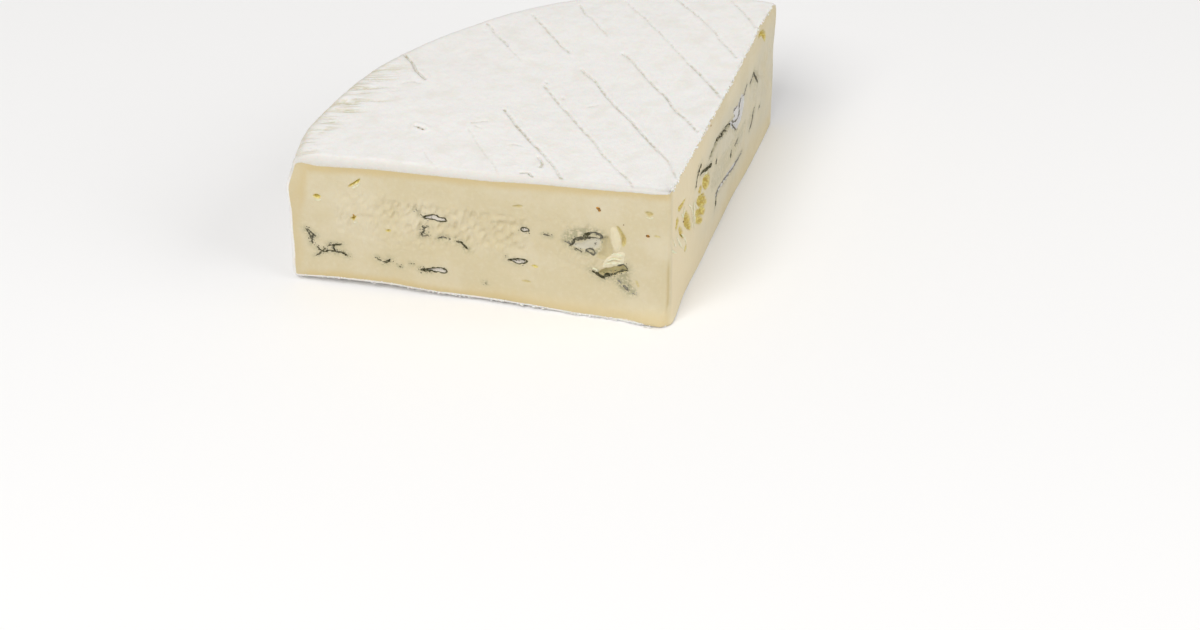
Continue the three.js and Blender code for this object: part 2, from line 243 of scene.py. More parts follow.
# What opens each cut: its kind, its depth, the width of its slope and its outline (distance from
# the tip, height).  Later ones lie over earlier ones.  A "hole" is a gas hole, glossy and yellow
# inside, and a "pit" a shallow, pale one; a "ring" is lined with cream-white, a "veil" and a "vein"
# with pale mould; a "dent", a "hollow", a "grotto" and a "cave" are torn, and a "fold" is a crease;
# a "curl" and a "ridge" are curd that stands up; a "stain" is grey-green mould, and a "haze" a thin
# one.
openings = {left: [
    ("hole", 1.3, 0.8, [(112.5, 33), (111.2, 34), (109.9, 33.1), (111, 32)]),
    ("hole", 1, 0.5, [(100.8, 38.2), (98, 40.6), (96.9, 41.4), (97.2, 40.2), (99.8, 38)]),
    ("hole", 1.1, 0.6, [(100.7, 25.4), (99.7, 27), (98.8, 26.6), (99.6, 25)]),
    ("hole", 0.8, 0.5, [(89.9, 22.3), (89, 22.9), (88, 22.5), (89, 21.6)]),
    ("pit", 0.5, 0.4, [(48.8, 38.1), (47.2, 38.8), (45.6, 38.4), (47.2, 37.8)]),
    ("hole", 0.6, 0.5, [(43.4, 15.9), (42.4, 16.3), (41.4, 15.7), (42.4, 15.3)]),
    ("pit", 0.4, 0.5, [(46.8, 9.7), (45.2, 10.1), (43.8, 9.6), (45.2, 9.2)]),
    ("pit", 0.7, 0.6, [(8, 41.2), (6.6, 41.6), (5.2, 40.9), (6.4, 39.9)]),
    ("pit", 0.3, 0.5, [(5.2, 33), (4.2, 33.4), (3.2, 32.8), (4.2, 32.5)]),
    ("pit", 0.2, 0.3, [(10.6, 15.4), (10.3, 15.6), (9.6, 13.6), (10, 13.2)]),
    ("stain", 0.1, 1.6, [(33.5, 28), (32, 31.6), (28.2, 33.2), (24.6, 33), (21, 32), (20.6, 27),
        (22, 23.6), (27, 23.4), (31.6, 25)]),
    ("ring", 0.7, 0.7, [(77.2, 29.8), (74.8, 30.8), (72.6, 30.6), (70.1, 29.3), (71, 28.6), (74, 28.7)]),
    ("ring", 0.6, 0.6, [(79, 8.6), (74.8, 9), (71, 9.1), (70.8, 10.3), (72.3, 11), (75.6, 10.1)]),
    ("ring", 0.6, 0.6, [(46.7, 29.2), (45.4, 30.2), (43.8, 29.4), (45.3, 28.3)]),
    ("ring", 0.6, 0.6, [(50.4, 17.2), (47.5, 17.9), (44.9, 17.5), (47.1, 15.9)]),
    ("veil", 0.5, 0.9, [(30.5, 26.2), (29.1, 27.5), (26.9, 27.9), (25.3, 29.4), (22.6, 30.3), (21.5, 29.4),
        (21.8, 27.2), (22.9, 25.9), (26.3, 25.2), (28.3, 24.9)]),
    ("dent", 0.7, 1.4, [(21.1, 31), (18.9, 31.3), (18.4, 29.3), (17.6, 25.9), (18.5, 23.6), (20.3, 22.3),
        (22.3, 22.5), (22.7, 24.1), (21.3, 25.9), (21.1, 28.6)]),
    ("fold", 0.8, 0.6, [(16.6, 35.3), (15.6, 34.7), (14.6, 33), (13.7, 31.2), (13.7, 29.2), (14.6, 27.8),
        (15, 29.5), (15.2, 31.6), (16, 33.6)]),
    ("curl", -0.5, 1.5, [(18.4, 34.5), (16.6, 34.5), (15.4, 31.5), (15, 28.9), (15.5, 26.5), (16.8, 25.8),
        (17.8, 27.8), (18.4, 31.2)]),
    ("ridge", -0.5, 1.2, [(19.6, 23), (17.6, 24.5), (15.8, 25.8), (14, 25.4), (14.3, 23.1), (14.7, 20.9),
        (17.1, 20.1), (20.3, 19.4), (20.9, 20.3)]),
    ("fold", 0.1, 0.3, [(19.6, 21.4), (17.4, 22.3), (15.5, 22.3), (15.5, 22.8), (17.4, 22.9),
        (19.6, 21.7)]),
    ("fold", -0.1, 0.3, [(18.6, 23), (16.7, 23.6), (14.9, 23.3), (14.9, 23.8), (16.7, 24.1), (18.6, 23.3)]),
    ("grotto", 0.9, 0.6, [(22.4, 17), (21.2, 18.4), (18.9, 19.4), (16.5, 20.2), (14.9, 21), (13.6, 20.4),
        (13.1, 18.8), (15.6, 17.7), (17.6, 16.7), (19.4, 16.7), (20.8, 15.8), (21.6, 16.2)]),
    ("stain", 0.3, 1.2, [(19, 16.2), (16.3, 16.6), (13.1, 18.4), (11.8, 14.4), (10.4, 10.6), (12.3, 9.3),
        (14.7, 11), (17, 13.2), (18.7, 14.8)]),
], right: [
    ("hole", 2.2, 1, [(99.4, 44.8), (103.4, 43), (107.8, 38.4), (108.2, 41.4), (105, 44.4), (101, 46)]),
    ("haze", 0.3, 1.5, [(100, 29), (96, 31), (89, 33), (90, 36), (96, 35.4), (99.6, 31.4)]),
    ("haze", 0.3, 1.5, [(98, 19), (93, 17), (88, 19), (90, 22), (95, 22)]),
    ("vein", 0.8, 0.8, [(66, 33.5), (70.6, 32.5), (70.5, 35.7), (75.2, 35.5), (79, 36.2), (82, 33.4),
        (80, 29), (77.4, 27.2), (73.7, 26.6), (69.4, 29.2)]),
    ("stain", 0.8, 0.8, [(66, 34.6), (61, 35), (55, 36.4), (51, 37.2), (45, 36), (42, 34.6), (45, 33.8),
        (52, 35), (56, 34), (61, 32.8), (66, 32)]),
    ("haze", 0.3, 2.5, [(84, 24), (74, 24), (62, 26), (50, 27), (44, 22), (52, 18), (66, 18), (80, 19)]),
    ("vein", 0.5, 0.7, [(76, 13.4), (68, 14.8), (58, 16.2), (51, 16.6), (49.8, 14.4), (52, 15.2),
        (58, 14.6), (68, 13)]),
    ("hollow", 0.4, 3, [(43, 31), (37, 33.5), (28, 34), (20, 36), (13, 39), (7, 38.4), (4.6, 34), (7, 28),
        (11, 23), (20, 19), (27, 16.8), (34, 16), (39, 18.4), (42.6, 24)]),
    ("cave", 2, 0.9, [(42.8, 29), (37.2, 31), (36.2, 28.6), (39.6, 24.6), (43.2, 25.2)]),
    ("cave", 1.6, 0.8, [(33.3, 30.6), (31.4, 29.4), (34.1, 27), (35.6, 28.4)]),
    ("cave", 2.2, 0.9, [(35.8, 25.8), (30.5, 27.8), (29.4, 26), (34.2, 21.6), (39.4, 20), (38.4, 23.7)]),
    ("cave", 1.8, 0.8, [(36.6, 20.8), (27.6, 24), (28.2, 21.8), (36.4, 17.6)]),
    ("cave", 1.2, 0.7, [(30, 21), (28.6, 19.2), (33.5, 15.9), (34.4, 17.7)]),
    ("cave", 2.2, 0.9, [(16.7, 31.4), (15, 29), (18.3, 24.2), (23.3, 20.3), (22.5, 24.8), (19.4, 29.3)]),
    ("cave", 1.4, 0.7, [(7.8, 39), (9.2, 36.6), (12.7, 35.5), (15.2, 37.8), (12, 38.3)]),
    ("cave", 1.6, 0.7, [(7.5, 35.2), (5, 33.3), (7.6, 31), (9.9, 33)]),
    ("cave", 1.6, 0.7, [(10, 30.2), (11.3, 26.2), (15, 22.8), (13.6, 27)]),
    ("hole", 0.9, 0.5, [(17.8, 18), (16.7, 18.9), (15.6, 17.8), (16.8, 16.8)]),
]}
tint_names = ("olive", "stain", "pocket", "bloom", "cream", "curd")
# The "olive" tint of the dents, pits, folds, grottos and caves is partly painted shade in those hollows and
# partly a greenish tint of the paste.
tints = {
    "hole": {"pocket": 1.0},
    "pit": {"olive": 0.7, "pocket": 0.35},
    "ring": {"cream": 1.0, "stain": 0.0},
    "veil": {"bloom": 0.8, "stain": 0.3},
    "vein": {"bloom": 1.0, "stain": 0.1},
    "dent": {"olive": 0.7, "stain": 0.0},
    "hollow": {},
    "haze": {"stain": 0.3},
    "fold": {"olive": 0.8, "pocket": 0.45},
    "grotto": {"olive": 1.0, "pocket": 0.2},
    "cave": {"pocket": 0.9, "olive": 0.2},
    "curl": {"curd": 0.6, "pocket": 0.0, "olive": 0.0, "stain": 0.0},
    "ridge": {"curd": 1.0, "pocket": 0.0, "olive": 0.0, "stain": 0.0},
    "stain": {"stain": 0.8},
}
raggedness = {"hollow": 0.3, "haze": 1.0, "hole": 0.15, "pit": 0.15, "ring": 0.08, "veil": 0.3, "vein": 0.3,
              "dent": 0.25, "fold": 0.06, "grotto": 0.2, "cave": 0.3, "curl": 0.1, "ridge": 0.1, "stain": 0.5}

# The blue mould's strokes on each cut: thickness at the start and at the end, how blue and pale it
# is, and the places that it passes.  One that ends where it starts is a ring.
strokes = {left: [
    (0.45, 0.6, 0.1, [(115.8, 19.7), (114.4, 17), (113.9, 14)]),
    (0.4, 0.8, 0.1, [(115.4, 19.6), (113.9, 18.4), (112.6, 16.9)]),
    (0.5, 0.5, 0.1, [(113.6, 17.8), (113.8, 16.4), (114, 15)]),
    (0.55, 0.45, 0, [(112.4, 12.7), (110.5, 10.7), (108.4, 11.3), (105.8, 11)]),
    (0.6, 0.9, 0, [(106.2, 11), (104.6, 11.1), (102.9, 10.2)]),
    (0.5, 0.45, 0, [(112.5, 9.3), (110.8, 10.9), (109.8, 12.4)]),
    (0.5, 0.6, 0, [(108.9, 13.5), (106.8, 14), (104.6, 14.4)]),
    (0.75, 0.45, 0, [(106.9, 14), (107.2, 12.2), (106.3, 10.9)]),
    (0.4, 0.35, 0.2, [(108.3, 14.7), (107.8, 14.5)]),
    (0.6, 0.4, 0, [(93.2, 10.8), (92.6, 10.1), (91.6, 9.7)]),
    (0.5, 0.85, 0, [(91.4, 9.5), (90.2, 9.5), (89.4, 10.2), (88.9, 11)]),
    (0.5, 0.4, 0.1, [(86.1, 8.5), (85.4, 8.5)]),
    (0.4, 0.4, 0.1, [(82.3, 10.3), (81.8, 10.4)]),
    (0.5, 0.4, 0.3, [(79.9, 31.8), (79, 31.7)]),
    (0.5, 0.45, 0, [(77, 29.8), (74.8, 30.8), (72.6, 30.6), (70.2, 29.3), (71, 28.6), (74, 28.8),
        (77, 29.8)]),
    (0.6, 0.5, 0, [(78.2, 30), (77, 29.8), (75.8, 29.7)]),
    (0.5, 0.4, 0.1, [(77.9, 26.4), (76.9, 25.6), (75.8, 26.4)]),
    (0.55, 0.5, 0.1, [(76.9, 25.7), (77.6, 24.2), (78.4, 22.2)]),
    (0.45, 0.4, 0.1, [(78.4, 22.2), (77.2, 22.9), (76, 22.8)]),
    (0.35, 0.35, 0.2, [(77.9, 24.2), (76.9, 23.6)]),
    (0.5, 0.6, 0.2, [(73, 22.2), (71.6, 22.7), (70.4, 22.3)]),
    (0.5, 0.5, 0.1, [(69.6, 22.4), (69, 22.3)]),
    (0.4, 0.95, 0, [(67.5, 22.1), (65.8, 21.5), (64.4, 20.7), (63.6, 19.5)]),
    (0.5, 0.5, 0, [(78.9, 8.6), (74.8, 9), (71, 9.1), (70.8, 10.3), (72.3, 11), (75.6, 10.1), (78.9, 8.6)]),
    (0.7, 0.5, 0, [(79.2, 8.9), (77.6, 8.6), (76, 8.9)]),
    (0.45, 0.4, 0.1, [(58.5, 7.1), (58.1, 7)]),
    (0.5, 0.5, 0, [(46.6, 29.2), (45.4, 30.1), (43.9, 29.4), (45.3, 28.4), (46.6, 29.2)]),
    (0.5, 0.3, 0.2, [(39.5, 28.6), (38.4, 28.6), (37.1, 28.3)]),
    (0.55, 0.5, 0, [(50.3, 17.2), (47.5, 17.8), (44.9, 17.4), (47.1, 16), (50.3, 17.2)]),
    (0.5, 0.9, 0, [(50.9, 17.3), (49.4, 17.1), (48.4, 16.6)]),
    (0.3, 0.6, 0.3, [(32.9, 27.2), (31.6, 26.8), (30.4, 26.4)]),
    (0.8, 0.9, 0.1, [(31.3, 25.8), (30.3, 26.5), (29.9, 28.3)]),
    (0.8, 1.3, 0.1, [(29.9, 28.2), (28.2, 29), (26.5, 29.3)]),
    (1.4, 1.1, 0, [(26.8, 29), (26.2, 30.3), (24.8, 31.5)]),
    (1, 0.9, 0.2, [(25, 31.4), (23.3, 31.8), (22, 31.4), (21.1, 30.9), (21.6, 29.7)]),
    (0.8, 0.55, 0.1, [(26.4, 29.4), (25.3, 29.6), (23.8, 29.9), (22.9, 29.7), (21.6, 29.9)]),
    (0.6, 0.8, 0.1, [(29.4, 25.2), (28.3, 24.5), (27.5, 23.9)]),
    (0.55, 0.5, 0.2, [(26.2, 24.9), (24.9, 25.7), (23.8, 25.3), (23.5, 24.5), (23.8, 23.7), (24.8, 24.1),
        (26.2, 24.9)]),
    (0.7, 0.5, 0.3, [(23.7, 27.8), (23, 27.4)]),
    (0.7, 1.2, 0, [(24.3, 17.6), (23.2, 16.6), (21.4, 15.7), (20.4, 15.4)]),
    (1.3, 0.9, 0, [(20.6, 15.4), (19.4, 16.6), (17.6, 16.7)]),
    (1.2, 0.8, 0, [(17.9, 16.6), (15.8, 17.8), (13.3, 18.7)]),
    (0.6, 0.9, 0.1, [(16.5, 20.5), (14.9, 21.1), (13.7, 20.6), (13.1, 18.9)]),
    (1.3, 0.8, 0.35, [(14.7, 13), (13.8, 12.2), (13, 11.4)]),
    (0.8, 0.5, 0.6, [(16.4, 14.6), (15.2, 13.8)]),
    (0.35, 0.3, 0.6, [(11.6, 10.8), (11, 10.2)]),
], right: [
    (0.6, 0.9, 0.2, [(94.1, 35.3), (95.9, 32.8), (98.7, 28.7)]),
    (0.5, 0.4, 0.4, [(89.4, 33.5), (92.4, 33.8), (94.1, 35)]),
    (0.6, 0.6, 0.7, [(85.6, 36), (82.6, 35), (79.9, 33.4)]),
    (0.7, 0.6, 0.4, [(79.9, 33.3), (78.5, 32.2), (78, 29.1), (75.8, 28.5), (72.6, 29.6), (69.5, 32.4)]),
    (0.45, 0.5, 0.6, [(71.1, 31.5), (71.6, 34), (75.3, 33.6), (79.6, 34.2)]),
    (0.5, 0.8, 0.2, [(70.4, 30.2), (73, 26.4)]),
    (0.6, 0.9, 0.1, [(69.5, 32.4), (67.3, 32.4), (62.1, 33.7), (59.2, 33.6), (52.6, 35.4)]),
    (0.5, 0.5, 0.2, [(62.2, 32.7), (58.3, 35.6)]),
    (0.9, 1, 0, [(52.9, 35.3), (48.3, 35.7), (46.3, 34.6), (42.8, 34.5)]),
    (1.5, 0.6, 0, [(45.4, 30.8), (40.8, 32.2), (35.1, 34.7), (31.6, 35.6)]),
    (1.3, 0.5, 0.1, [(32.8, 38.8), (30.1, 38.4), (27.2, 36.8)]),
    (0.5, 0.9, 0.1, [(27.6, 37), (26.2, 34.4)]),
    (0.7, 0.9, 0.2, [(69, 21.2), (67.3, 19.3)]),
    (0.5, 0.5, 0.4, [(76.5, 20.8), (72.8, 20.2)]),
    (0.9, 0.7, 0.2, [(51, 29.3), (50.3, 27.8)]),
    (0.6, 0.7, 0.5, [(96.4, 20.8), (93.6, 17.5), (90.7, 15.4)]),
    (0.5, 0.4, 0.5, [(104, 17), (102.4, 16.6)]),
    (0.5, 0.7, 0.8, [(81.7, 12.6), (75.6, 13), (69.6, 12.9), (63.6, 13.9)]),
    (0.8, 0.8, 0.7, [(63.9, 13.8), (57.6, 15.3), (52.5, 15.7), (50.4, 14.7)]),
    (0.6, 1, 0.2, [(50.5, 14.8), (49.7, 13.4), (49.1, 12.2)]),
]}


def stroke_line(places, steps=5):
    """A stroke's smooth line, and whether it is a ring."""
    closed = places[0] == places[-1]
    return curve(places[:-1] if closed else places, closed, steps), closed


def knife_drag(side, along, up):
    """What the knife leaves, in millimetres: short ripples at mid height, in patches and over the
    torn stretch of the left cut, which also lies deeper; and a slow unevenness everywhere."""
    patch = 0.6 * ease(-0.3, 0.4, grain(along, up, 14, 31 + side)) * ease(14, 21, up) * (1 - ease(33, 38, up))
    torn = ease(42, 46, along) * (1 - ease(88, 93, along)) * ease(19, 23, up) * (1 - ease(33, 35, up))
    torn = torn * (side == left)
    patch = np.maximum(patch, torn)
    tears = grain(along + 0.25 * up, up / 1.9, 1.0, 33 + side) + 0.7 * grain(along, up / 2.4, 2.1, 35 + side)
    return (0.28 * torn + 0.56 * patch * tears
            + 0.08 * grain(along, up, 4.2, 37 + side) + 0.03 * grain(along, up, 1.3, 39))


def cut_relief(side, along, up):
    """Depth of a cut below the knife's clean face, in millimetres, and the shares of each tint.
    Each opening in turn pulls the depth to its own over its slope, and its tints over its edge."""
    depth = knife_drag(side, along, up)
    shares = {tint: np.zeros_like(along) for tint in tint_names}
    for number, (kind, deep, slope, outline) in enumerate(openings[side]):
        inside = -line_distance(along, up, curve(outline, closed=True, steps=4), closed=True)
        inside = inside + raggedness[kind] * grain(along, up, 0.8, 100 + 7 * number + side)
        depth = depth + (deep - depth) * ease(-0.1, slope, inside)
        edge = slope * 0.8 if kind in ("stain", "veil") else 0.2
        for tint, share in tints[kind].items():
            shares[tint] = shares[tint] + (share - shares[tint]) * ease(-edge, edge, inside)
    for start, end, pale, places in strokes[side]:
        line, closed = stroke_line(places)
        near = np.abs(line_distance(along, up, line, closed))
        halo = 0.55 * np.exp(-(near / (0.5 + 0.8 * (start + end))) ** 2) * (near < 4.9)
        clean = np.maximum(shares["cream"], shares["bloom"])
        shares["stain"] = np.maximum(shares["stain"], halo * (1 - clean) * (1 - 0.7 * closed))
    return depth, shares


def tube_faces(stations, sides, ring=False):
    """Squares between neighbouring rings of points.  A tube that isn't a ring closes in a pole at
    each end: the two poles are the last two points, and the fans of triangles meet in them."""
    station, turn = (a.ravel() for a in np.meshgrid(np.arange(stations if ring else stations - 1),
                                                    np.arange(sides), indexing="ij"))
    ahead, beside = (station + 1) % stations, (turn + 1) % sides
    squares = np.stack([station * sides + turn, station * sides + beside, ahead * sides + beside,
                        ahead * sides + turn], -1)
    if ring:
        return squares, np.zeros((0, 3), int)
    turn, count = np.arange(sides), stations * sides
    first = np.stack([(turn + 1) % sides, turn, np.full(sides, count)], -1)
    last = np.stack([turn, (turn + 1) % sides, np.full(sides, count + 1)], -1)
    last[:, :2] += count - sides
    return squares, np.concatenate([first, last])


def join(parts):
    """Puts many closed bodies into one list of points, squares and triangles, and turns the faces
    of any body whose volume, summed over its faces, comes out negative."""
    points, squares, triangles, first = [], [], [], 0
    for body, fours, threes in parts:
        fans = np.concatenate([fours[:, [0, 1, 2]], fours[:, [0, 2, 3]], threes])
        a, b, c = (body[fans[:, n]] - body.mean(0) for n in range(3))
        if (a * np.cross(b, c)).sum() < 0:
            fours, threes = fours[:, ::-1], threes[:, ::-1]
        points.append(body)
        squares.append(fours + first)
        triangles.append(threes + first)
        first += len(body)
    return np.concatenate(points), np.concatenate(squares).tolist(), np.concatenate(triangles).tolist()


def make_piece(name, bodies, fields=None):
    """Joins closed bodies, in millimetres, into one smooth mesh in metres, with its fields."""
    points, squares, triangles = join(bodies)
    mesh = bpy.data.meshes.new(name)
    mesh.from_pydata((points * MM).tolist(), [], squares + triangles)
    for field, values in (fields or {}).items():
        store = mesh.attributes.new(field, "FLOAT", "POINT")
        store.data.foreach_set("value", np.asarray(values, np.float32))
    mesh.shade_smooth()
    mesh.update()
    piece = bpy.data.objects.new(name, mesh)
    bpy.context.scene.collection.objects.link(piece)
    return piece


# How deep the paste lies under the rind's outside: at the top, the base and the cuts' ends, in the
# arc behind the wall, and, for each millimetre of reach, under the left cut's hem.
under_rind = 0.45
under_wall = 1.6
under_hem = 0.028
base_pole, top_pole = 3.0, height - 4.5
rows, left_columns, right_columns, back_columns = 160, 350, 230, 15


def paste_slices():
    """Level slices from the base to the top.  Each runs in along the left cut, round the tip, out
    along the right cut, and back in an arc under the rind wall.  The edges are rounded, the cuts
    opened, and the whole settled.  Returns the points, the two poles last, and the fields."""
    inner, outer = (np.linspace(0, 1, count + 1) for count in (left_columns, right_columns))
    outer = 0.82 * outer + 0.18 * outer ** 2
    share = np.concatenate([inner[::-1], outer[1:], np.ones(back_columns)])
    angle = np.concatenate([np.full(left_columns + 1, -half_angle), np.full(right_columns, half_angle),
                            np.linspace(half_angle, -half_angle, back_columns + 2)[1:-1]])
    face = np.concatenate([np.full(left_columns + 1, left), np.full(right_columns, right),
                           np.zeros(back_columns, int)])
    level = np.repeat(np.linspace(0, 1, rows), len(share))
    share, angle, face = (np.tile(a, rows) for a in (share, angle, face))
    tuck = np.where(face == 0, under_wall, under_rind)
    up = under_rind + level * (top_height(share * radius) - 2 * under_rind)
    reach = share * (wall_radius(up) - tuck)
    drawn, dropped = soften(wall_radius(up) - reach, top_height(reach) - up, shoulder_round, -tuck)
    reach, up = reach - drawn, up - dropped
    drawn, dropped = soften(wall_radius(up) - reach, up, heel_round, -tuck)
    reach, up = reach - drawn, up + dropped
    x, y, up = round_edges(reach * np.sin(angle), reach * np.cos(angle), up)

    reach = np.hypot(x, y)
    skin = skin_depth(reach, up) - under_hem * reach * ease(20, 35, up) * (x < 0)
    fields = {tint: np.zeros_like(x) for tint in tint_names}
    for side in (left, right):
        here = np.flatnonzero(face == side)
        along = x[here] * outward_run[side][0] + y[here] * outward_run[side][1]
        clear = ease(0.5, 3.0, skin[here]) * ease(1.0, 3.5, along)
        depth, shares = cut_relief(side, along, up[here])
        for tint, amount in shares.items():
            fields[tint][here] = amount * clear
        x[here] += inward[side][0] * depth * clear
        y[here] += inward[side][1] * depth * clear
    reach = np.hypot(x, y)
    foot = (1 - ease(2, 8, up)) * ease(60, 10, reach)
    # Painted shade: a thin darker line down the lower half of the tip's edge, on the left cut, stored as
    # "fold".
    tip_shade_line = np.exp(-(((x + 0.3) / 0.45) ** 2)) * ease(2.6, 1.4, y)
    ripe = (1 - 0.8 * ease(-2, 4, x)) * (1 - 0.5 * ease(113, 119, reach)) * (1 - 0.7 * foot)
    # The "cool" field greys the right cut's middle: partly painted shade on that face, partly its blue-grey
    # marbling.
    fields |= {"skin": skin, "ripe": ripe, "cool": ease(6, 22, x) * ease(3, 12, up) * ease(44, 36, up),
               "warmth": (1 - ease(0.5, 8, up)) * ease(105, 20, reach) * ease(6, -1, x),
               "fold": tip_shade_line * ease(4, 9, up) * ease(27, 19, up),
               # "pale" is painted light: it lightens the right cut by the tip, against the shade there.
               "pale": ease(0.5, 2.5, x) * ease(45, 8, x)}
    points = np.stack(settle(x, y, up), -1)
    poles = [[0, 0, base_pole], [0, 0, top_pole]]
    fields = {field: np.append(values, [0, 0]) for field, values in fields.items()}
    return np.concatenate([points, poles]), fields


slice_points, slice_fields = paste_slices()
slice_sides = left_columns + right_columns + 1 + back_columns
paste = make_piece("paste", [(slice_points, *tube_faces(rows, slice_sides))], slice_fields)


class Tone:
    """One value in a finish.  Plain arithmetic on it adds the Math nodes that work it out."""

    def __init__(self, finish, socket):
        self.finish, self.socket = finish, socket

    def math(self, kind, other):
        return self.finish.node("ShaderNodeMath", {"operation": kind}, {0: self, 1: other})

    def __add__(self, other):
        return self.math("ADD", other)

    def __sub__(self, other):
        return self.math("SUBTRACT", other)

    def __mul__(self, other):
        return self.math("MULTIPLY", other)

    def fade(self, low, high):
        """0 at low and 1 at high by a smooth step, or the other way round where low is larger."""
        ends = {1: min(low, high), 2: max(low, high), 3: float(low > high), 4: float(low < high)}
        return self.finish.node("ShaderNodeMapRange", {"interpolation_type": "SMOOTHSTEP"}, {0: self, **ends})


class Finish:
    """A material on its way: the node tree round one surface shader."""

    def __init__(self, name, **constants):
        self.material = bpy.data.materials.new(name)
        self.material.use_nodes = True
        self.tree = self.material.node_tree
        self.shader = self.tree.nodes["Principled BSDF"]
        for socket, value in constants.items():
            self.set(socket.replace("_", " "), value)
        self.place = self.node("ShaderNodeTexCoord", output="Object")

    def node(self, kind, settings=None, sockets=None, output=0):
        """Adds a node: its settings first, then its sockets' values or links."""
        node = self.tree.nodes.new(kind)
        for key, value in (settings or {}).items():
            setattr(node, key, value)
        for key, value in (sockets or {}).items():
            self.join(node.inputs[key], value)
        return Tone(self, node.outputs[output])

    def join(self, socket, value):
        if isinstance(value, Tone):
            self.tree.links.new(value.socket, socket)
        else:
            socket.default_value = value

    def set(self, socket, value):
        self.join(self.shader.inputs[socket], value)

    def field(self, name):
        return self.node("ShaderNodeAttribute", {"attribute_name": name}, output="Fac")

    def noise(self, size, detail, stretch=(1, 1, 1), turn=0.0):
        """Cloudy noise from 0 to 1, with lumps of the given size in millimetres, pulled out by
        the stretch after a turn about the upright axis."""
        lumps = tuple(size * MM * s for s in stretch)
        place = self.node("ShaderNodeMapping", {"vector_type": "TEXTURE"},
                          {"Vector": self.place, "Rotation": (0, 0, turn), "Scale": lumps})
        return self.node("ShaderNodeTexNoise", {}, {"Vector": place, "Scale": 1.0, "Detail": detail})

    def blend(self, first, second, share):
        """The first colour where share is 0, the second where it is 1."""
        return self.node("ShaderNodeMix", {"data_type": "RGBA"}, {0: share, 6: first, 7: second}, output=2)

    def bump(self, height, deep):
        """Fine relief of the given depth in millimetres, for what is too small for the mesh."""
        return self.node("ShaderNodeBump", {}, {"Height": height, "Distance": deep * MM, "Strength": 1.0})


def paint(code):
    """A colour code such as #e8e4de as a linear colour."""
    share = np.array([int(code[i:i + 2], 16) for i in (1, 3, 5)]) / 255
    linear = np.where(share > 0.04045, ((share + 0.055) / 1.055) ** 2.4, share / 12.92)
    return (*linear.tolist(), 1.0)


paste_cream = paint("#d1c4a1")
paste_light = paint("#d9ceb2")
paste_ripe = paint("#cfbb8c")
paste_warm = paint("#dcc897")
paste_grey_shade_and_stain = paint("#cac3ad")
paste_painted_light = paint("#e1d2af")
pocket_yellow = paint("#c9ad44")
pocket_bright = paint("#e8dc80")
olive_tint_and_shade = paint("#beb083")
bloom_grey = paint("#cac4b0")
bloom_white = paint("#d3d2d2")
cream_white = paint("#dfd8cc")
curd_bright = paint("#e9e0c2")
stain_grey = paint("#a09c7c")
tip_edge_painted_shade = paint("#bba97c")


def paste_finish():
    """Cream paste with a riper, yellower band under the rind; bright yellow in the gas holes and
    caves, pale mould in the rings, and grey-green veils round the mould."""
    finish = Finish("cream_paste", Subsurface_Weight=0.12, Subsurface_Scale=0.003,
                    Subsurface_Radius=(1.0, 0.75, 0.45), Specular_IOR_Level=0.3)
    skin = finish.field("skin")
    colour = finish.blend(paste_cream, paste_light, finish.noise(14, 3.0).fade(0.35, 0.7) * 0.8)
    flecks = finish.noise(1.3, 4.0)
    colour = finish.blend(colour, paste_light, flecks.fade(0.5, 0.72) * 0.4)
    colour = finish.blend(colour, paste_ripe, flecks.fade(0.45, 0.3) * 0.15)
    # Painted shade and marbling: the right cut's middle turns greyer, partly for the shade on that face,
    # partly for its blue-grey marbling.
    grey_shade_share = finish.noise(9, 3.0).fade(0.35, 0.6) * 0.4 + 0.45
    colour = finish.blend(colour, paste_grey_shade_and_stain, finish.field("cool") * grey_shade_share)
    colour = finish.blend(colour, paste_warm, finish.field("warmth") * 0.7)
    wavy = skin + (finish.noise(12, 2.0) - 0.5) * 2 + (finish.noise(0.8, 4.0) - 0.5) * 0.8
    colour = finish.blend(colour, paste_ripe, wavy.fade(4.6, 1.5) * finish.field("ripe") * 0.95)
    # Painted light: the right cut by the tip is painted paler to lift the shade it gets.
    colour = finish.blend(colour, paste_painted_light, finish.field("pale") * 0.9)
    # Painted shade: a thin darker olive line down the tip's edge.
    colour = finish.blend(colour, tip_edge_painted_shade, finish.field("fold") * 0.8)
    mottle = finish.noise(0.9, 4.0)
    # Olive in the hollows: partly painted shade, partly a greenish tint of the paste.
    colour = finish.blend(colour, olive_tint_and_shade, finish.field("olive") * 0.9)
    colour = finish.blend(colour, stain_grey, finish.field("stain") * mottle.fade(0.32, 0.6))
    yellow = finish.blend(pocket_yellow, pocket_bright, mottle.fade(0.4, 0.65))
    colour = finish.blend(colour, yellow, finish.field("pocket") * 0.92)
    bloom = finish.blend(bloom_grey, bloom_white, finish.field("cool"))
    colour = finish.blend(colour, bloom, finish.field("bloom").fade(0.2, 0.8) * 0.9)
    colour = finish.blend(colour, cream_white, finish.field("cream").fade(0.2, 0.8) * 0.9)
    colour = finish.blend(colour, curd_bright, finish.field("curd").fade(0.2, 0.9) * 0.75)
    finish.set("Base Color", colour)
    finish.set("Roughness", finish.field("pocket") * -0.25 + 0.55)
    fine = finish.noise(0.5, 4.0) * 0.5 + finish.noise(1.5, 4.0, (1, 1, 2.5))
    finish.set("Normal", finish.bump(fine, 0.16))
    return finish.material


paste.data.materials.append(paste_finish())
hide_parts("cheese_wedge")
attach(paste, "root")

# ------------------------------------------------------------------ the rind
# The dry white mould that grew on the cake, about a millimetre of it, over the top, the wall and
# the base.  The knife has dragged its hem a little way over the edges of both cuts.

# A hem stands a little proud of the cut at the edge and sinks into it at its ragged end; behind it
# the rind's inside lies deeper.
rind_thick = 1.2
hem_proud = 0.08
hem_sunk = 0.30
hem_inside = 0.8
across_columns, inner_columns = 300, 8
hem_columns = {left: 7, right: 5}

